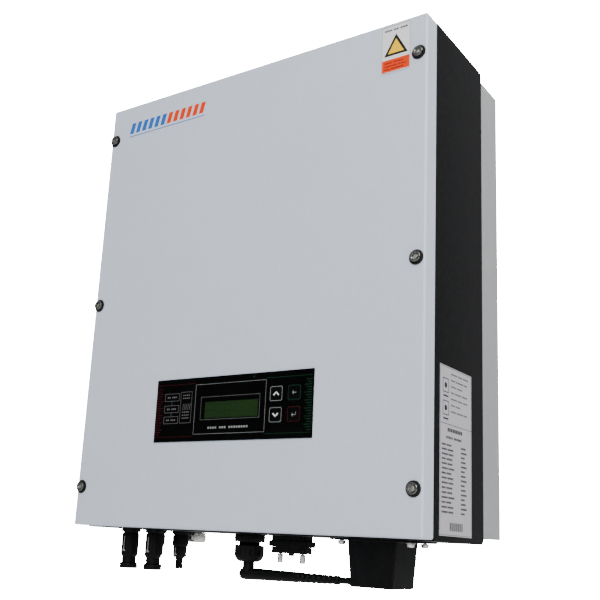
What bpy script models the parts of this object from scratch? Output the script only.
"""Wall-mounted string inverter, built as separate pieces with their real joints.

Metres, +Z up. The origin is the centre of the wall bracket's rear face, on the wall.
The cabinet hangs in front of the wall, towards -Y, and its front cover faces -Y.
Inside this script a place on the cabinet is given as (x, depth, height): x from the
cabinet's middle, depth back from the cover's face, height above the chassis's underside.
"""

import math

import bmesh
import bpy
from mathutils import Matrix, Vector

# Cabinet
WIDTH = 0.405
HEIGHT = 0.4812
COVER_BOTTOM = 0.0012
COVER_DEPTH = 0.020
CHASSIS_BACK = 0.130
HEATSINK_BACK = 0.1825
BRACKET_SPACE = 0.0125
BRACKET_HEIGHT = 0.3012
SHEET = 0.0015
GAP = 0.0003
FLANGE_WIDTH = 0.016
GASKET_WIDTH = 0.0035
GASKET_THICKNESS = 0.0012
REAR_EDGE_RADIUS = 0.0045
COVER_EDGE_RADIUS = 0.002
CHASSIS_FRONT = COVER_DEPTH + GASKET_THICKNESS + 2 * GAP

# Cover screws
SCREW_LEFT = -0.1955
SCREW_RIGHT = 0.194
SCREW_HEIGHTS = (0.0412, 0.2412, 0.4412)
SCREW_SHANK = 0.0025
SCREW_HEAD = 0.0050
SCREW_WASHER = 0.0070
SCREW_REACH = 0.027

# Display panel
PANEL_LEFT = -0.097
PANEL_RIGHT = 0.0935
PANEL_BOTTOM = 0.0857
PANEL_TOP = 0.1494
PANEL_THICKNESS = 0.0008
PANEL_FACE = -0.0010
LCD_CENTRE = (-0.0005, 0.1160)
LCD_WINDOW = (0.0650, 0.0167)
KEY_SIDE = 0.0152
KEY_CLEARANCE = 0.00035
KEY_FACE = -0.0015
KEY_BACK = 0.0030
KEY_PLACES = {
    "key_up": (0.0527, 0.1280),
    "key_down": (0.0527, 0.1080),
    "key_escape": (0.0730, 0.1280),
    "key_enter": (0.0730, 0.1080),
}
DISPLAY_OPENING = ((-0.040, 0.0962), (0.084, 0.1397))
LCD_MODULE_HALF = (0.038, 0.0202)
LCD_MODULE_DEPTHS = (0.0023, 0.0093)
DISPLAY_BOARD = ((-0.060, 0.0932), (0.0865, 0.1427))
SWITCH_HALF = 0.003
RIBBON_WIDTH = 0.024
RIBBON_THICKNESS = 0.0009
BOARD_FACE = 0.0096
BOARD_THICKNESS = 0.0016

# Labels
WARNING_LABEL = ((0.1545, 0.4278), (0.186, 0.4777))
RATING_LABEL = ((0.031, 0.0052), (0.100, 0.1522))
LABEL_LIFT = 0.0006

# Solar connectors
DC_COLUMNS = (-0.1563, -0.1223)
PLUG_ROW = 0.040
SOCKET_ROW = 0.082
DC_FLANGE_RADIUS = 0.0100
DC_STUB_RADIUS = 0.0060
DC_STUB_TOP = 0.0100
PLUG_LENGTH = 0.0405
PLUG_RADIUS = 0.0091
PLUG_BORE = 0.0056
PIN_RADIUS = 0.0021
PIN_TIP = -0.0320
SOCKET_LENGTH = 0.0390
SOCKET_RADIUS = 0.0088
NOSE_RADIUS = 0.0041
VENT_PLACE = (-0.118, 0.104)
VENT_RADIUS = 0.010
VENT_LENGTH = 0.0109

# Gland, boot and lead
GLAND_PLACE = (-0.0025, 0.045)
GLAND_HEX_CORNER = 0.0150
GLAND_THREAD = 0.0106
GLAND_TOP = 0.012
NUT_RADIUS = 0.0144
LEAD_RADIUS = 0.0030
LEAD_CLEARANCE = 0.0002
LEAD_LEVEL = -0.0373
BOOT_END = 0.1000
BOOT_HEEL_OFFSET = 0.0040
BOOT_RADII = (0.0058, 0.0041)

# Serial port
SERIAL_PLACE = (0.0501, 0.040)
JACKSCREW_OFFSET = 0.0125
PORT_HALF = (0.0186, 0.0075)
FLANGE_HALF = (0.0214, 0.0085)
CAP_HALF = (0.0185, 0.0074)
WINDOW_HALF = (0.0092, 0.0050)
CONNECTOR_HALF = (0.0088, 0.0046)

# Terminal box
BOX_PLACE = (0.1401, 0.0505)
BOX_TOP = (0.0485, 0.0430)
BOX_BOTTOM = (0.0412, 0.0410)
BOX_LOW = -0.0387
BOX_PLATE = (0.0864, 0.0440, 0.0015)
BOX_WALL = 0.0020
BOX_SCREWS = (0.034, 0.01425)
BOX_ENTRY_RADIUS = 0.0042

# Inside
CIRCUIT_BACK = 0.1156
POWER_BOARD = ((-0.165, 0.150), (0.165, 0.450))
CONTROL_BOARD = ((-0.075, 0.025), (0.085, 0.135))
CAPACITOR_COLUMNS = (-0.120, -0.080, -0.040)
CAPACITOR_HEIGHT = 0.400
CAPACITOR_LENGTH = 0.050
CAPACITOR_RADIUS = 0.0175
INDUCTOR_PLACE = (0.070, 0.395)
CIRCUIT_FACE = CIRCUIT_BACK - BOARD_THICKNESS
WIRE_RADIUS = 0.0026
PAD_RADIUS = 0.005

# Heatsink and hanging parts
HEATSINK_SIDE = 0.0040
HEATSINK_BOTTOM = 0.0057
HEATSINK_TOP = 0.0045
HEATSINK_BASE = 0.008
FIN_COUNT = 31
FIN_THICKNESS = 0.0020
END_FIN_THICKNESS = 0.0035
BRACKET_WIDTH = 0.220
RAIL_WIDTH = 0.240
PLATE = 0.0020

FRONT_Y = -(HEATSINK_BACK + BRACKET_SPACE)
BOTTOM_Z = -BRACKET_HEIGHT


def at(x, depth, height):
    """World place of a point given from the cabinet's middle, face and underside."""
    return Vector((x, FRONT_Y + depth, BOTTOM_Z + height))


def clear_scene():
    for item in list(bpy.data.objects):
        bpy.data.objects.remove(item, do_unlink=True)


def new_collection(name):
    collection = bpy.data.collections.new(name)
    bpy.context.scene.collection.children.link(collection)
    return collection


clear_scene()
PARTS = new_collection("string_inverter")
CUTTERS = new_collection("cutters")
MATERIALS = {}


def material(name, colour, roughness, metallic=0.0):
    made = bpy.data.materials.new(name)
    made.use_nodes = True
    shader = made.node_tree.nodes["Principled BSDF"]
    shader.inputs["Base Color"].default_value = (*colour, 1.0)
    shader.inputs["Roughness"].default_value = roughness
    shader.inputs["Metallic"].default_value = metallic
    MATERIALS[name] = made


material("cover_paint", (0.62, 0.66, 0.70), 0.45)
material("chassis_paint", (0.020, 0.021, 0.021), 0.60)
material("heatsink_metal", (0.55, 0.56, 0.56), 0.50, 0.6)
material("zinc_steel", (0.62, 0.62, 0.60), 0.35, 1.0)
material("seal_rubber", (0.015, 0.015, 0.015), 0.80)
material("panel_film", (0.010, 0.010, 0.011), 0.30)
material("lcd_green", (0.20, 0.28, 0.06), 0.25)
material("key_film", (0.012, 0.012, 0.013), 0.35)
material("label_paper", (0.85, 0.85, 0.84), 0.50)
material("black_nylon", (0.014, 0.014, 0.015), 0.50)
material("contact_metal", (0.75, 0.72, 0.66), 0.30, 1.0)
material("lead_jacket", (0.016, 0.016, 0.017), 0.55)
material("wire_red", (0.45, 0.02, 0.02), 0.45)
material("wire_blue", (0.02, 0.05, 0.35), 0.45)
material("circuit_green", (0.03, 0.16, 0.06), 0.45)
material("capacitor_sleeve", (0.03, 0.05, 0.12), 0.40)
material("copper_winding", (0.50, 0.20, 0.08), 0.40, 0.8)
material("core_grey", (0.10, 0.10, 0.11), 0.60)
material("module_plastic", (0.05, 0.05, 0.05), 0.50)
material("ribbon_grey", (0.45, 0.46, 0.48), 0.50)


def own(name, mesh, paint, place=Vector((0, 0, 0))):
    """A finished piece of the inverter, kept under its node name."""
    piece = bpy.data.objects.new(name, mesh)
    piece.location = place
    mesh.materials.append(MATERIALS[paint])
    PARTS.objects.link(piece)
    return piece


def tool(name, mesh, place=Vector((0, 0, 0))):
    """A helper shape that cuts or joins a piece and isn't a piece itself."""
    helper = bpy.data.objects.new(name, mesh)
    helper.location = place
    helper.hide_render = True
    helper.display_type = "WIRE"
    CUTTERS.objects.link(helper)
    return helper


def combine(piece, helper, operation):
    modifier = piece.modifiers.new(f"{operation.lower()}_{helper.name}", "BOOLEAN")
    modifier.operation = operation
    modifier.solver = "EXACT"
    modifier.object = helper


def mesh_from(name, shape, smooth=False):
    mesh = bpy.data.meshes.new(name)
    shape.to_mesh(mesh)
    shape.free()
    if smooth:
        mesh.shade_smooth()
        mesh.set_sharp_from_angle(angle=math.radians(35))
    return mesh


def add_box(shape, low, high):
    """Adds a box between two corners to a bmesh and returns its vertices."""
    middle = (Vector(low) + Vector(high)) / 2
    size = Vector(high) - Vector(low)
    matrix = Matrix.Translation(middle) @ Matrix.Diagonal((*size, 1.0))
    return bmesh.ops.create_cube(shape, size=1.0, matrix=matrix)["verts"]


def add_rod(shape, centre, radius, length, axis="Z", sides=16, far_radius=None):
    """Adds a rod or cone, centred on a point and lying along an axis."""
    turn = {"X": Matrix.Rotation(math.pi / 2, 4, "Y"), "Y": Matrix.Rotation(-math.pi / 2, 4, "X")}
    matrix = Matrix.Translation(centre) @ turn.get(axis, Matrix.Identity(4))
    bmesh.ops.create_cone(
        shape,
        cap_ends=True,
        segments=sides,
        radius1=radius,
        radius2=radius if far_radius is None else far_radius,
        depth=length,
        matrix=matrix,
    )


def round_edges(shape, edges, radius, segments=3):
    bmesh.ops.bevel(
        shape, geom=edges, offset=radius, segments=segments, profile=0.5, affect="EDGES"
    )


def edges_along(shape, axis, test=lambda middle: True):
    """Edges of a box that run along an axis and whose middle passes a test."""
    found = []
    for edge in shape.edges:
        run = (edge.verts[0].co - edge.verts[1].co).normalized()
        middle = (edge.verts[0].co + edge.verts[1].co) / 2
        if abs(run[axis]) > 0.99 and test(middle):
            found.append(edge)
    return found


def block(name, low, high, paint, radius=0.0, segments=2):
    """A box-shaped piece between two cabinet places, with rounded edges if asked."""
    low = at(*low)
    high = at(*high)
    middle = (low + high) / 2
    shape = bmesh.new()
    add_box(shape, low - middle, high - middle)
    if radius:
        round_edges(shape, list(shape.edges), radius, segments)
    return own(name, mesh_from(name, shape), paint, middle)


def turned(name, outline, place, paint, steps=16):
    """A round piece: its outline of (radius, height) points turned about its axis."""
    shape = bmesh.new()
    corners = [shape.verts.new((radius, 0, height)) for radius, height in outline]
    for first, second in zip(corners, corners[1:]):
        shape.edges.new((first, second))
    piece = own(name, mesh_from(name, shape), paint, place)
    screw = piece.modifiers.new("turn", "SCREW")
    screw.axis = "Z"
    screw.steps = steps
    screw.render_steps = steps
    screw.use_merge_vertices = True
    screw.merge_threshold = 0.00001
    screw.use_smooth_shade = True
    return piece


def smooth_route(stops, spacing):
    """Evenly spaced points on one smooth curve through the stops."""
    padded = [2 * stops[0] - stops[1], *stops, 2 * stops[-1] - stops[-2]]
    fine = []
    for before, start, end, after in zip(padded, padded[1:], padded[2:], padded[3:]):
        for step in range(24):
            t = step / 24
            fine.append(
                0.5
                * (
                    2 * start
                    + (end - before) * t
                    + (2 * before - 5 * start + 4 * end - after) * t**2
                    + (3 * start - before - 3 * end + after) * t**3
                )
            )
    fine.append(stops[-1])
    length = sum((b - a).length for a, b in zip(fine, fine[1:]))
    count = max(2, round(length / spacing))
    points = [fine[0]]
    travelled = 0.0
    for a, b in zip(fine, fine[1:]):
        travelled += (b - a).length
        if travelled >= len(points) * length / count and len(points) < count:
            points.append(b)
    points.append(fine[-1])
    return points


def tube_mesh(name, points, radius, resolution=2):
    """A capped tube along the points, as a closed mesh in world places."""
    curve = bpy.data.curves.new(name, "CURVE")
    curve.dimensions = "3D"
    curve.bevel_depth = radius
    curve.bevel_resolution = resolution
    curve.use_fill_caps = True
    spline = curve.splines.new("POLY")
    spline.points.add(len(points) - 1)
    for knot, point in zip(spline.points, points):
        knot.co = (*point, 1.0)
    carrier = bpy.data.objects.new(name, curve)
    bpy.context.scene.collection.objects.link(carrier)
    graph = bpy.context.evaluated_depsgraph_get()
    mesh = bpy.data.meshes.new_from_object(carrier.evaluated_get(graph))
    bpy.data.objects.remove(carrier, do_unlink=True)
    shape = bmesh.new()
    shape.from_mesh(mesh)
    bmesh.ops.remove_doubles(shape, verts=list(shape.verts), dist=0.00001)
    bmesh.ops.recalc_face_normals(shape, faces=list(shape.faces))
    bpy.data.meshes.remove(mesh)
    return mesh_from(name, shape, smooth=True)


def folded_sheet(name, outline, width, paint):
    """Sheet metal folded along X: an open strip through (y, z) points, given a thickness."""
    shape = bmesh.new()
    rows = []
    for y, z in outline:
        left = shape.verts.new((-width / 2, y, z))
        right = shape.verts.new((width / 2, y, z))
        rows.append((left, right))
    for (a, b), (c, d) in zip(rows, rows[1:]):
        shape.faces.new((a, b, d, c))
    piece = own(name, mesh_from(name, shape), paint)
    solid = piece.modifiers.new("thickness", "SOLIDIFY")
    solid.thickness = PLATE
    solid.offset = 0.0
    solid.use_even_offset = True
    return piece


def cover_screw_places():
    return [(x, height) for x in (SCREW_LEFT, SCREW_RIGHT) for height in SCREW_HEIGHTS]


# Cabinet shells


def front_cover():
    shape = bmesh.new()
    low = at(-WIDTH / 2, 0, COVER_BOTTOM)
    high = at(WIDTH / 2, COVER_DEPTH, HEIGHT)
    middle = (low + high) / 2
    add_box(shape, low - middle, high - middle)
    side_edges = edges_along(shape, 1)
    round_edges(shape, side_edges, COVER_EDGE_RADIUS)
    front = -COVER_DEPTH / 2
    face_edges = [e for e in shape.edges if all(abs(v.co.y - front) < 1e-6 for v in e.verts)]
    round_edges(shape, face_edges, COVER_EDGE_RADIUS)
    piece = own("front_cover", mesh_from("front_cover", shape), "cover_paint", middle)
    hollow = bmesh.new()
    add_box(
        hollow,
        at(-WIDTH / 2 + SHEET, SHEET, COVER_BOTTOM + SHEET),
        at(WIDTH / 2 - SHEET, COVER_DEPTH + 0.01, HEIGHT - SHEET),
    )
    combine(piece, tool("cover_hollow", mesh_from("cover_hollow", hollow)), "DIFFERENCE")
    holes = bmesh.new()
    for x, height in cover_screw_places():
        add_rod(holes, at(x, 0, height), SCREW_SHANK + 0.0008, 0.01, "Y", 12)
    (left, bottom), (right, top) = DISPLAY_OPENING
    add_box(holes, at(left, -0.005, bottom), at(right, 0.005, top))
    combine(piece, tool("cover_holes", mesh_from("cover_holes", holes)), "DIFFERENCE")


def chassis():
    shape = bmesh.new()
    low = at(-WIDTH / 2, CHASSIS_FRONT, 0)
    high = at(WIDTH / 2, CHASSIS_BACK, HEIGHT)
    middle = (low + high) / 2
    rear = (CHASSIS_BACK - CHASSIS_FRONT) / 2
    add_box(shape, low - middle, high - middle)
    round_edges(shape, edges_along(shape, 0, lambda m: abs(m.y - rear) < 1e-6), REAR_EDGE_RADIUS, 4)
    piece = own("chassis", mesh_from("chassis", shape), "chassis_paint", middle)
    hollow = bmesh.new()
    add_box(
        hollow,
        at(-WIDTH / 2 + SHEET, CHASSIS_FRONT + SHEET, SHEET),
        at(WIDTH / 2 - SHEET, CHASSIS_BACK - SHEET, HEIGHT - SHEET),
    )
    inner_rear = at(0, CHASSIS_BACK - SHEET, 0).y
    rear_edges = edges_along(hollow, 0, lambda m: abs(m.y - inner_rear) < 1e-6)
    round_edges(hollow, rear_edges, REAR_EDGE_RADIUS - SHEET, 4)
    combine(piece, tool("chassis_hollow", mesh_from("chassis_hollow", hollow)), "DIFFERENCE")
    mouth = bmesh.new()
    add_box(
        mouth,
        at(-WIDTH / 2 + FLANGE_WIDTH, CHASSIS_FRONT - 0.01, FLANGE_WIDTH),
        at(WIDTH / 2 - FLANGE_WIDTH, CHASSIS_FRONT + 0.01, HEIGHT - FLANGE_WIDTH),
    )
    combine(piece, tool("chassis_mouth", mesh_from("chassis_mouth", mouth)), "DIFFERENCE")
    pads = bmesh.new()
    pad_low = CIRCUIT_BACK + GAP
    pad_high = CHASSIS_BACK - SHEET / 2
    for x, height in pad_places():
        centre = at(x, (pad_low + pad_high) / 2, height)
        add_rod(pads, centre, PAD_RADIUS, pad_high - pad_low, "Y", 12)
    combine(piece, tool("chassis_pads", mesh_from("chassis_pads", pads)), "UNION")
    combine(piece, tool("chassis_holes", chassis_holes()), "DIFFERENCE")


def pad_places():
    power = [(x, height) for x in (-0.155, 0.155) for height in (0.160, 0.440)]
    control = [(x, height) for x in (-0.066, 0.076) for height in (0.034, 0.126)]
    return power + control


def chassis_holes():
    """Everything that passes through the chassis: connectors, gland, screws and wiring."""
    holes = bmesh.new()
    reach = 0.01
    for x in DC_COLUMNS:
        for depth in (PLUG_ROW, SOCKET_ROW):
            add_rod(holes, at(x, depth, 0), DC_STUB_RADIUS + GAP, reach)
    add_rod(holes, at(*VENT_PLACE, 0), DC_STUB_RADIUS + GAP, reach)
    add_rod(holes, at(*GLAND_PLACE, 0), GLAND_THREAD + GAP, reach)
    x, depth = SERIAL_PLACE
    add_box(holes, at(x - 0.0105, depth - 0.006, -0.005), at(x + 0.0105, depth + 0.006, 0.005))
    for screw_x, screw_depth in box_screw_places():
        add_rod(holes, at(screw_x, screw_depth, 0), 0.0023, reach, sides=12)
    for x, height in cover_screw_places():
        add_rod(holes, at(x, CHASSIS_FRONT, height), SCREW_SHANK + GAP, 0.008, "Y", 12)
    return mesh_from("chassis_holes", holes)


def cover_gasket():
    shape = bmesh.new()
    inset = 0.0005
    low = at(-WIDTH / 2 + inset, COVER_DEPTH + GAP, COVER_BOTTOM + inset)
    high = at(WIDTH / 2 - inset, COVER_DEPTH + GAP + GASKET_THICKNESS, HEIGHT - inset)
    middle = (low + high) / 2
    add_box(shape, low - middle, high - middle)
    round_edges(shape, edges_along(shape, 1), COVER_EDGE_RADIUS)
    piece = own("cover_gasket", mesh_from("cover_gasket", shape), "seal_rubber", middle)
    inner = bmesh.new()
    step = Vector((GASKET_WIDTH, -0.005, GASKET_WIDTH))
    add_box(inner, low + step, high - step)
    combine(piece, tool("gasket_inner", mesh_from("gasket_inner", inner)), "DIFFERENCE")


def cover_screws():
    """Cap screw with a bonded sealing washer, and a hexagon socket in its head."""
    outline = [
        (0.0, -SCREW_REACH),
        (0.0018, -SCREW_REACH),
        (SCREW_SHANK, -SCREW_REACH + 0.001),
        (SCREW_SHANK, GAP),
        (SCREW_WASHER, GAP),
        (SCREW_WASHER, 0.0010),
        (SCREW_HEAD + 0.0004, 0.0014),
        (SCREW_HEAD, 0.0036),
        (SCREW_HEAD - 0.0006, 0.0042),
        (0.0026, 0.0042),
        (0.0026, 0.0022),
        (0.0, 0.0022),
    ]
    outline.reverse()
    for number, (x, height) in enumerate(cover_screw_places(), 1):
        piece = turned(f"cover_screw_{number}", outline, at(x, 0, height), "zinc_steel", 12)
        piece.rotation_euler = (math.pi / 2, 0, 0)


# Display


def keypad_overlay():
    low = (PANEL_LEFT, PANEL_FACE, PANEL_BOTTOM)
    high = (PANEL_RIGHT, PANEL_FACE + PANEL_THICKNESS, PANEL_TOP)
    piece = block("keypad_overlay", low, high, "panel_film")
    windows = bmesh.new()
    half = Vector((LCD_WINDOW[0] / 2, 0.005, LCD_WINDOW[1] / 2))
    centre = at(LCD_CENTRE[0], PANEL_FACE, LCD_CENTRE[1])
    add_box(windows, centre - half, centre + half)
    reach = KEY_SIDE / 2 + KEY_CLEARANCE
    for x, height in KEY_PLACES.values():
        key = at(x, PANEL_FACE, height)
        add_box(windows, key - Vector((reach, 0.005, reach)), key + Vector((reach, 0.005, reach)))
    combine(piece, tool("overlay_windows", mesh_from("overlay_windows", windows)), "DIFFERENCE")


def display_unit():
    x, height = LCD_CENTRE
    half_x = LCD_WINDOW[0] / 2 - GAP
    half_z = LCD_WINDOW[1] / 2 - GAP
    block(
        "lcd_screen",
        (x - half_x, PANEL_FACE + 0.0002, height - half_z),
        (x + half_x, 0.0020, height + half_z),
        "lcd_green",
    )
    module_x, module_z = LCD_MODULE_HALF
    module_face, module_back = LCD_MODULE_DEPTHS
    block(
        "lcd_module",
        (x - module_x, module_face, height - module_z),
        (x + module_x, module_back, height + module_z),
        "module_plastic",
    )
    (left, bottom), (right, top) = DISPLAY_BOARD
    board = block(
        "display_board",
        (left, BOARD_FACE, bottom),
        (right, BOARD_FACE + BOARD_THICKNESS, top),
        "circuit_green",
    )
    switches = bmesh.new()
    for key_x, key_height in KEY_PLACES.values():
        add_box(
            switches,
            at(key_x - SWITCH_HALF, KEY_BACK + 0.001, key_height - SWITCH_HALF),
            at(key_x + SWITCH_HALF, BOARD_FACE + 0.0005, key_height + SWITCH_HALF),
        )
    combine(board, tool("tact_switches", mesh_from("tact_switches", switches)), "UNION")


def keys():
    """Push keys that stand in the overlay's windows and press switches on the board."""
    for name, (x, height) in KEY_PLACES.items():
        shape = bmesh.new()
        half = KEY_SIDE / 2
        front = Vector((0, KEY_FACE, 0))
        add_box(shape, front - Vector((half, 0, half)), (half, KEY_BACK, half))
        round_edges(shape, edges_along(shape, 1), 0.002, 3)
        own(name, mesh_from(name, shape), "key_film", at(x, 0, height))


def ribbon_cable():
    """Flat cable from the display board back to the control board."""
    shape = bmesh.new()
    stops = [
        at(0, 0.0116, 0.110),
        at(0, 0.024, 0.109),
        at(0, 0.045, 0.098),
        at(0, 0.070, 0.086),
        at(0, 0.088, 0.081),
        at(0, 0.1015, 0.080),
    ]
    rows = []
    for point in smooth_route(stops, 0.008):
        left = shape.verts.new(point + Vector((-RIBBON_WIDTH / 2, 0, 0)))
        right = shape.verts.new(point + Vector((RIBBON_WIDTH / 2, 0, 0)))
        rows.append((left, right))
    for (a, b), (c, d) in zip(rows, rows[1:]):
        shape.faces.new((a, b, d, c))
    piece = own("ribbon_cable", mesh_from("ribbon_cable", shape), "ribbon_grey")
    solid = piece.modifiers.new("thickness", "SOLIDIFY")
    solid.thickness = RIBBON_THICKNESS
    solid.offset = 0.0


def labels():
    (left, bottom), (right, top) = WARNING_LABEL
    block("warning_label", (left, -LABEL_LIFT, bottom), (right, -GAP, top), "label_paper")
    side = WIDTH / 2
    (front, bottom), (back, top) = RATING_LABEL
    low = at(side + GAP, front, bottom)
    high = at(side + LABEL_LIFT, back, top)
    middle = (low + high) / 2
    shape = bmesh.new()
    add_box(shape, low - middle, high - middle)
    own("rating_label", mesh_from("rating_label", shape), "label_paper", middle)


# Under the cabinet


def dc_connectors():
    plug = [
        (0.0, DC_STUB_TOP),
        (DC_STUB_RADIUS, DC_STUB_TOP),
        (DC_STUB_RADIUS, -GAP),
        (DC_FLANGE_RADIUS, -GAP),
        (DC_FLANGE_RADIUS, -0.0030),
        (PLUG_RADIUS, -0.0038),
        (PLUG_RADIUS - 0.0002, -0.0270),
        (0.0074, -0.0288),
        (0.0074, -0.0342),
        (0.0092, -0.0352),
        (0.0094, -0.0395),
        (0.0088, -PLUG_LENGTH),
        (PLUG_BORE, -PLUG_LENGTH),
        (PLUG_BORE, -0.0200),
        (PIN_RADIUS + 0.0002, -0.0200),
        (PIN_RADIUS + 0.0002, -0.0120),
        (0.0, -0.0120),
    ]
    pin = [
        (0.0, -0.0123),
        (PIN_RADIUS, -0.0123),
        (PIN_RADIUS, PIN_TIP + 0.0015),
        (0.0008, PIN_TIP),
        (0.0, PIN_TIP),
    ]
    socket = [
        (0.0, DC_STUB_TOP),
        (DC_STUB_RADIUS, DC_STUB_TOP),
        (DC_STUB_RADIUS, -GAP),
        (DC_FLANGE_RADIUS, -GAP),
        (DC_FLANGE_RADIUS, -0.0030),
        (SOCKET_RADIUS, -0.0038),
        (SOCKET_RADIUS, -0.0150),
        (0.0074, -0.0160),
        (0.0074, -0.0255),
        (0.0055, -0.0275),
        (NOSE_RADIUS, -0.0282),
        (NOSE_RADIUS, -SOCKET_LENGTH + 0.0008),
        (NOSE_RADIUS - 0.0006, -SOCKET_LENGTH),
        (0.0019, -SOCKET_LENGTH),
        (0.0019, -SOCKET_LENGTH + 0.010),
        (0.0, -SOCKET_LENGTH + 0.010),
    ]
    for number, x in enumerate(DC_COLUMNS, 1):
        turned(f"dc_plug_{number}", plug, at(x, PLUG_ROW, 0), "black_nylon")
        turned(f"dc_pin_{number}", pin, at(x, PLUG_ROW, 0), "contact_metal", 12)
        turned(f"dc_socket_{number}", socket, at(x, SOCKET_ROW, 0), "black_nylon")


def breather_vent():
    outline = [
        (0.0, 0.008),
        (DC_STUB_RADIUS, 0.008),
        (DC_STUB_RADIUS, -GAP),
        (VENT_RADIUS, -GAP),
        (VENT_RADIUS, -VENT_LENGTH + 0.0012),
        (VENT_RADIUS - 0.0012, -VENT_LENGTH),
        (0.0, -VENT_LENGTH),
    ]
    turned("breather_vent", outline, at(*VENT_PLACE, 0), "zinc_steel")


def gland():
    bore = LEAD_RADIUS + LEAD_CLEARANCE
    x, depth = GLAND_PLACE
    shape = bmesh.new()
    add_rod(shape, (0, 0, (-0.00745 - GAP) / 2), GLAND_HEX_CORNER, 0.00745 - GAP, sides=6)
    body = own("gland_body", mesh_from("gland_body", shape), "black_nylon", at(x, depth, 0))
    threads = bmesh.new()
    low = -0.0215
    add_rod(threads, at(x, depth, (GLAND_TOP + low) / 2), GLAND_THREAD, GLAND_TOP - low)
    combine(body, tool("gland_threads", mesh_from("gland_threads", threads)), "UNION")
    passage = bmesh.new()
    add_rod(passage, at(x, depth, -0.005), bore, 0.05)
    combine(body, tool("gland_passage", mesh_from("gland_passage", passage)), "DIFFERENCE")
    inner = GLAND_THREAD + GAP
    nut = [
        (inner, -0.0106),
        (NUT_RADIUS - 0.0006, -0.0106),
        (NUT_RADIUS, -0.0112),
        (NUT_RADIUS, -0.0200),
        (0.0139, -0.0217),
        (0.0127, -0.0240),
        (0.0110, -0.0256),
        (0.0090, -0.0264),
        (0.0060, -0.0264),
        (0.0060, -0.0222),
        (inner, -0.0222),
        (inner, -0.0106),
    ]
    turned("gland_nut", nut, at(x, depth, 0), "black_nylon")


def lead_route():
    """The output lead: power board, gland, right-angle boot, terminal box."""
    x, depth = GLAND_PLACE
    bend = 0.008
    centre_height = LEAD_LEVEL + bend
    stops = [
        at(0.112, 0.1060, 0.1515),
        at(0.112, 0.1020, 0.1280),
        at(0.106, 0.0880, 0.0980),
        at(0.082, 0.0660, 0.0720),
        at(0.040, 0.0510, 0.0500),
        at(0.0100, 0.0460, 0.0370),
        at(x + 0.0010, depth, 0.0240),
        at(x, depth, 0.0140),
        at(x, depth, -0.0080),
        at(x, depth, centre_height + 0.001),
    ]
    for step in range(1, 6):
        angle = step * math.pi / 12
        stops.append(
            at(x + bend * (1 - math.cos(angle)), depth, centre_height - bend * math.sin(angle))
        )
    stops.append(at(x + bend + 0.001, depth, LEAD_LEVEL))
    stops.append(at(0.040, depth, LEAD_LEVEL))
    stops.append(at(0.080, depth, LEAD_LEVEL))
    stops.append(at(BOX_PLACE[0] - BOX_TOP[0] / 2 + 0.012, depth, LEAD_LEVEL))
    return smooth_route(stops, 0.0055)


def output_lead():
    own("output_lead", tube_mesh("output_lead", lead_route(), LEAD_RADIUS), "lead_jacket")


def strain_relief():
    """Right-angle moulded boot: a neck in the gland nut, a round heel and a tapered arm."""
    x, depth = GLAND_PLACE
    neck_top = -0.0226
    shape = bmesh.new()
    neck_length = neck_top - LEAD_LEVEL
    add_rod(shape, (0, 0, neck_top - neck_length / 2), 0.0056, neck_length)
    boot = own("strain_relief", mesh_from("strain_relief", shape), "lead_jacket", at(x, depth, 0))
    heel = bmesh.new()
    arm_start = x - BOOT_HEEL_OFFSET
    near, far = BOOT_RADII
    place = Matrix.Translation(at(arm_start, depth, LEAD_LEVEL))
    bmesh.ops.create_uvsphere(heel, u_segments=20, v_segments=12, radius=near, matrix=place)
    combine(boot, tool("boot_heel", mesh_from("boot_heel", heel)), "UNION")
    arm = bmesh.new()
    middle = at((arm_start + BOOT_END) / 2, depth, LEAD_LEVEL)
    add_rod(arm, middle, near, BOOT_END - arm_start, "X", far_radius=far)
    combine(boot, tool("boot_arm", mesh_from("boot_arm", arm)), "UNION")
    radius = LEAD_RADIUS + LEAD_CLEARANCE
    bore = tube_mesh("boot_bore", lead_route(), radius, 3)
    combine(boot, tool("boot_bore", bore), "DIFFERENCE")


def serial_port():
    x, depth = SERIAL_PLACE
    half_x, half_y = PORT_HALF
    port = block(
        "serial_port",
        (x - half_x, depth - half_y, -0.0056),
        (x + half_x, depth + half_y, -GAP),
        "black_nylon",
    )
    flange = bmesh.new()
    half_x, half_y = FLANGE_HALF
    add_box(
        flange,
        at(x - half_x, depth - half_y, -0.0104),
        at(x + half_x, depth + half_y, -0.0049),
    )
    combine(port, tool("port_flange", mesh_from("port_flange", flange)), "UNION")
    window = bmesh.new()
    half_x, half_y = WINDOW_HALF
    add_box(window, at(x - half_x, depth - half_y, -0.02), at(x + half_x, depth + half_y, 0.005))
    for offset in (-JACKSCREW_OFFSET, JACKSCREW_OFFSET):
        add_rod(window, at(x + offset, depth, -0.009), 0.0018, 0.012, sides=12)
    combine(port, tool("port_window", mesh_from("port_window", window)), "DIFFERENCE")
    half_x, half_y = CONNECTOR_HALF
    connector = block(
        "serial_connector",
        (x - half_x, depth - half_y, -0.0145),
        (x + half_x, depth + half_y, 0.0060),
        "zinc_steel",
    )
    mouth = bmesh.new()
    half_x -= 0.0008
    half_y -= 0.0008
    add_box(mouth, at(x - half_x, depth - half_y, -0.02), at(x + half_x, depth + half_y, -0.0095))
    combine(connector, tool("connector_mouth", mesh_from("connector_mouth", mouth)), "DIFFERENCE")


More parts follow.
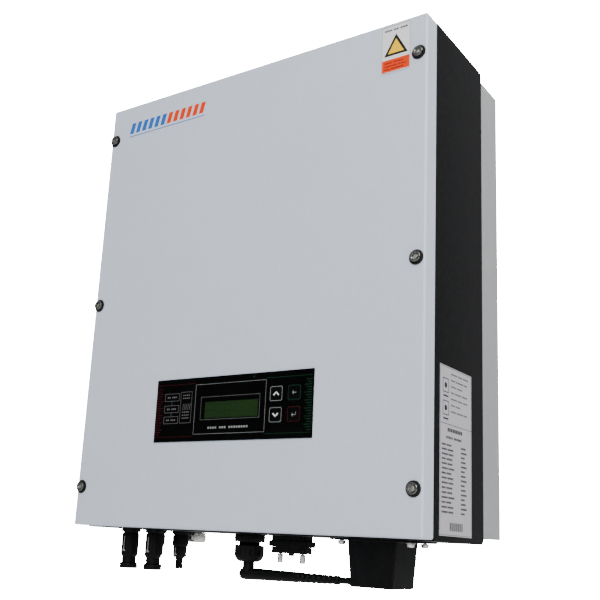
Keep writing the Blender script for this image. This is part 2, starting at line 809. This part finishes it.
def serial_cap():
    x, depth = SERIAL_PLACE
    half_x, half_y = CAP_HALF
    cap = block(
        "serial_cap",
        (x - half_x, depth - half_y, -0.0165),
        (x + half_x, depth + half_y, -0.0107),
        "black_nylon",
    )
    tab = bmesh.new()
    add_box(tab, at(x - 0.0024, depth - 0.0016, -0.0188), at(x + 0.0024, depth + 0.0016, -0.0160))
    combine(cap, tool("cap_tab", mesh_from("cap_tab", tab)), "UNION")
    inside = bmesh.new()
    half_x, half_y = WINDOW_HALF
    add_box(inside, at(x - half_x, depth - half_y, -0.0150), at(x + half_x, depth + half_y, 0.0))
    for offset in (-JACKSCREW_OFFSET, JACKSCREW_OFFSET):
        add_rod(inside, at(x + offset, depth, -0.0135), 0.0017, 0.012, sides=12)
    combine(cap, tool("cap_inside", mesh_from("cap_inside", inside)), "DIFFERENCE")
    for number, offset in enumerate((-JACKSCREW_OFFSET, JACKSCREW_OFFSET), 1):
        name = f"serial_screw_{number}"
        shape = bmesh.new()
        add_rod(shape, (0, 0, -0.0210), 0.00275, 0.0084, sides=6)
        screw = own(name, mesh_from(name, shape), "zinc_steel", at(x + offset, depth, 0))
        shank = bmesh.new()
        add_rod(shank, at(x + offset, depth, -0.0120), 0.0014, 0.0120, sides=12)
        combine(screw, tool(f"shank_{number}", mesh_from(f"shank_{number}", shank)), "UNION")


def box_screw_places():
    x, depth = BOX_PLACE
    side, deep = BOX_SCREWS
    return [(x + i * side, depth + j * deep) for i in (-1, 1) for j in (-1, 1)]


def add_tapered_box(shape, top_size, bottom_size, low, high):
    """A box whose lower end is smaller than its upper end, centred on the Z axis."""
    corners = add_box(
        shape,
        (-top_size[0] / 2, -top_size[1] / 2, low),
        (top_size[0] / 2, top_size[1] / 2, high),
    )
    for corner in corners:
        if corner.co.z < (low + high) / 2:
            corner.co.x *= bottom_size[0] / top_size[0]
            corner.co.y *= bottom_size[1] / top_size[1]


def terminal_box():
    x, depth = BOX_PLACE
    plate_low = -GAP - BOX_PLATE[2]
    shape = bmesh.new()
    add_tapered_box(shape, BOX_TOP, BOX_BOTTOM, BOX_LOW, -GAP)
    round_edges(shape, list(shape.edges), 0.0012, 2)
    box = own("terminal_box", mesh_from("terminal_box", shape), "black_nylon", at(x, depth, 0))
    plate = bmesh.new()
    half_x = BOX_PLATE[0] / 2
    half_y = BOX_PLATE[1] / 2
    add_box(plate, at(x - half_x, depth - half_y, plate_low), at(x + half_x, depth + half_y, -GAP))
    round_edges(plate, edges_along(plate, 2), 0.003, 3)
    combine(box, tool("box_plate", mesh_from("box_plate", plate)), "UNION")
    left = BOX_PLACE[0] - BOX_TOP[0] / 2
    entry = bmesh.new()
    add_rod(entry, at(left + 0.004, GLAND_PLACE[1], LEAD_LEVEL), BOX_ENTRY_RADIUS, 0.0170, "X")
    combine(box, tool("box_entry", mesh_from("box_entry", entry)), "UNION")
    inner = bmesh.new()
    slim = [side - 2 * BOX_WALL for side in BOX_TOP]
    slim_low = [side - 2 * BOX_WALL for side in BOX_BOTTOM]
    add_tapered_box(inner, slim, slim_low, BOX_LOW + BOX_WALL, 0.001)
    combine(box, tool("box_inner", mesh_from("box_inner", inner), at(x, depth, 0)), "DIFFERENCE")
    holes = bmesh.new()
    for screw_x, screw_depth in box_screw_places():
        add_rod(holes, at(screw_x, screw_depth, 0), 0.0023, 0.01, sides=12)
    bore = LEAD_RADIUS + GAP
    add_rod(holes, at(left + 0.002, GLAND_PLACE[1], LEAD_LEVEL), bore, 0.0235, "X")
    add_rod(holes, at(x, depth + BOX_TOP[1] / 2, -0.019), 0.0083, 0.008, "Y")
    combine(box, tool("box_holes", mesh_from("box_holes", holes)), "DIFFERENCE")
    block(
        "terminal_block",
        (x - 0.009, depth - 0.010, BOX_LOW + BOX_WALL + GAP),
        (x + 0.015, depth + 0.010, -0.0230),
        "module_plastic",
        0.0008,
    )


def terminal_box_screws():
    head = -GAP - BOX_PLATE[2] - GAP
    outline = [
        (0.0, 0.006),
        (0.0019, 0.006),
        (0.0019, head),
        (0.0046, head),
        (0.0046, head - 0.0008),
        (0.0036, head - 0.0010),
        (0.0033, head - 0.0026),
        (0.0022, head - 0.0036),
        (0.0, head - 0.0039),
    ]
    for number, (x, depth) in enumerate(box_screw_places(), 1):
        turned(f"terminal_box_screw_{number}", outline, at(x, depth, 0), "zinc_steel", 12)


def outlet_grommet():
    """Rubber membrane grommet for the grid cable, in the terminal box's rear wall."""
    wall = BOX_TOP[1] / 2 - 0.0010
    outline = [
        (0.0, 0.0030),
        (0.0095, 0.0030),
        (0.0100, 0.0024),
        (0.0100, 0.0012),
        (0.0080, 0.0012),
        (0.0080, -0.0028),
        (0.0, -0.0028),
    ]
    x, depth = BOX_PLACE
    grommet = turned("outlet_grommet", outline, at(x, depth + wall, -0.019), "seal_rubber")
    grommet.rotation_euler = (-math.pi / 2, 0, 0)


# Inside the cabinet


def circuit_boards():
    (left, bottom), (right, top) = POWER_BOARD
    power = block(
        "power_board", (left, CIRCUIT_FACE, bottom), (right, CIRCUIT_BACK, top), "circuit_green"
    )
    terminals = bmesh.new()
    add_box(terminals, at(-0.162, 0.101, 0.1520), at(-0.108, CIRCUIT_FACE + 0.0005, 0.166))
    add_box(terminals, at(0.098, 0.099, 0.1520), at(0.126, CIRCUIT_FACE + 0.0005, 0.166))
    combine(power, tool("power_terminals", mesh_from("power_terminals", terminals)), "UNION")
    (left, bottom), (right, top) = CONTROL_BOARD
    control = block(
        "control_board", (left, CIRCUIT_FACE, bottom), (right, CIRCUIT_BACK, top), "circuit_green"
    )
    sockets = bmesh.new()
    add_box(sockets, at(-0.016, 0.102, 0.0765), at(0.016, CIRCUIT_FACE + 0.0005, 0.0835))
    add_box(sockets, at(-0.055, 0.108, 0.040), at(-0.035, CIRCUIT_FACE + 0.0005, 0.060))
    add_box(sockets, at(0.045, 0.104, 0.100), at(0.070, CIRCUIT_FACE + 0.0005, 0.112))
    combine(control, tool("control_sockets", mesh_from("control_sockets", sockets)), "UNION")


def power_components():
    front = CIRCUIT_FACE - GAP
    length = CAPACITOR_LENGTH
    radius = CAPACITOR_RADIUS
    can = [
        (0.0, length),
        (radius - 0.001, length),
        (radius, length - 0.001),
        (radius, length - 0.004),
        (radius - 0.0008, length - 0.005),
        (radius, length - 0.006),
        (radius, 0.0),
        (0.0, 0.0),
    ]
    for number, x in enumerate(CAPACITOR_COLUMNS, 1):
        place = at(x, front, CAPACITOR_HEIGHT)
        piece = turned(f"capacitor_{number}", can, place, "capacitor_sleeve")
        piece.rotation_euler = (math.pi / 2, 0, 0)
    ring = []
    for start, middle in ((0, 0.029), (math.pi, 0.017)):
        for step in range(5):
            angle = start + math.pi / 2 - math.pi * step / 4
            ring.append((middle + 0.004 * math.cos(angle), 0.014 + 0.010 * math.sin(angle)))
    ring.append(ring[0])
    x, height = INDUCTOR_PLACE
    place = at(x, front - 0.0005, height)
    coil = turned("boost_inductor", ring, place, "copper_winding", 24)
    coil.rotation_euler = (math.pi / 2, 0, 0)
    block("filter_inductor", (0.060, 0.064, 0.180), (0.130, front, 0.235), "core_grey", 0.003)
    block("grid_relay", (-0.015, 0.088, 0.172), (0.015, front, 0.212), "module_plastic", 0.001)
    back = CHASSIS_BACK - SHEET - GAP
    block(
        "power_module", (0.005, CIRCUIT_BACK + GAP, 0.270), (0.115, back, 0.330), "module_plastic", 0.001
    )


def dc_wires():
    """One wire from each solar connector's stub up to the power board's terminals."""
    starts = [(x, depth) for x in DC_COLUMNS for depth in (PLUG_ROW, SOCKET_ROW)]
    ends = (-0.155, -0.142, -0.129, -0.116)
    for number, ((x, depth), end_x) in enumerate(zip(starts, ends), 1):
        stops = [
            at(x, depth, DC_STUB_TOP + GAP),
            at(x, depth, 0.032),
            at((3 * x + end_x) / 4, depth + 0.3 * (0.1065 - depth), 0.066),
            at((x + 3 * end_x) / 4, depth + 0.8 * (0.1065 - depth), 0.104),
            at(end_x, 0.1065, 0.132),
            at(end_x, 0.1065, 0.1517),
        ]
        name = f"dc_wire_{number}"
        paint = "wire_red" if number % 2 else "wire_blue"
        own(name, tube_mesh(name, smooth_route(stops, 0.011), WIRE_RADIUS), paint)


# Behind the cabinet


def heatsink():
    """Extruded profile: a base plate with vertical fins towards the wall."""
    width = WIDTH - 2 * HEATSINK_SIDE
    base_front = CHASSIS_BACK + GAP
    base_back = base_front + HEATSINK_BASE
    fins = []
    for number in range(FIN_COUNT):
        thickness = END_FIN_THICKNESS if number in (0, FIN_COUNT - 1) else FIN_THICKNESS
        span = width - END_FIN_THICKNESS
        middle = -span / 2 + span * number / (FIN_COUNT - 1)
        fins.append((middle - thickness / 2, middle + thickness / 2))
    outline = [(-width / 2, base_front), (width / 2, base_front)]
    for left, right in reversed(fins):
        outline += [(right, base_back), (right, HEATSINK_BACK), (left, HEATSINK_BACK), (left, base_back)]
    corners = [outline[0], outline[1]]
    corners += outline[3:-1]
    shape = bmesh.new()
    ring = [shape.verts.new((x, depth, 0)) for x, depth in corners]
    face = shape.faces.new(ring)
    height = HEIGHT - HEATSINK_BOTTOM - HEATSINK_TOP
    top = bmesh.ops.extrude_face_region(shape, geom=[face])["geom"]
    lifted = [item for item in top if isinstance(item, bmesh.types.BMVert)]
    bmesh.ops.translate(shape, verts=lifted, vec=(0, 0, height))
    bmesh.ops.recalc_face_normals(shape, faces=list(shape.faces))
    place = at(0, 0, HEATSINK_BOTTOM)
    own("heatsink", mesh_from("heatsink", shape), "heatsink_metal", place)


def wall_bracket():
    outline = [(-0.0010, -0.030), (-0.0010, 0.030), (-0.0080, 0.030), (-0.0080, 0.044)]
    bracket = folded_sheet("wall_bracket", outline, BRACKET_WIDTH, "zinc_steel")
    holes = bmesh.new()
    for x in (-0.085, 0.085):
        for z in (-0.015, 0.012):
            add_rod(holes, (x, 0, z), 0.0042, 0.012, "Y", 12)
    combine(bracket, tool("bracket_holes", mesh_from("bracket_holes", holes)), "DIFFERENCE")


def hanger_rail():
    outline = [(-0.0112, 0.0), (-0.0112, 0.0453), (-0.0045, 0.0453), (-0.0045, 0.0340)]
    folded_sheet("hanger_rail", outline, RAIL_WIDTH, "zinc_steel")


front_cover()
chassis()
cover_gasket()
cover_screws()
keypad_overlay()
display_unit()
keys()
ribbon_cable()
labels()
dc_connectors()
breather_vent()
gland()
output_lead()
strain_relief()
serial_port()
serial_cap()
terminal_box()
terminal_box_screws()
outlet_grommet()
circuit_boards()
power_components()
dc_wires()
heatsink()
wall_bracket()
hanger_rail()
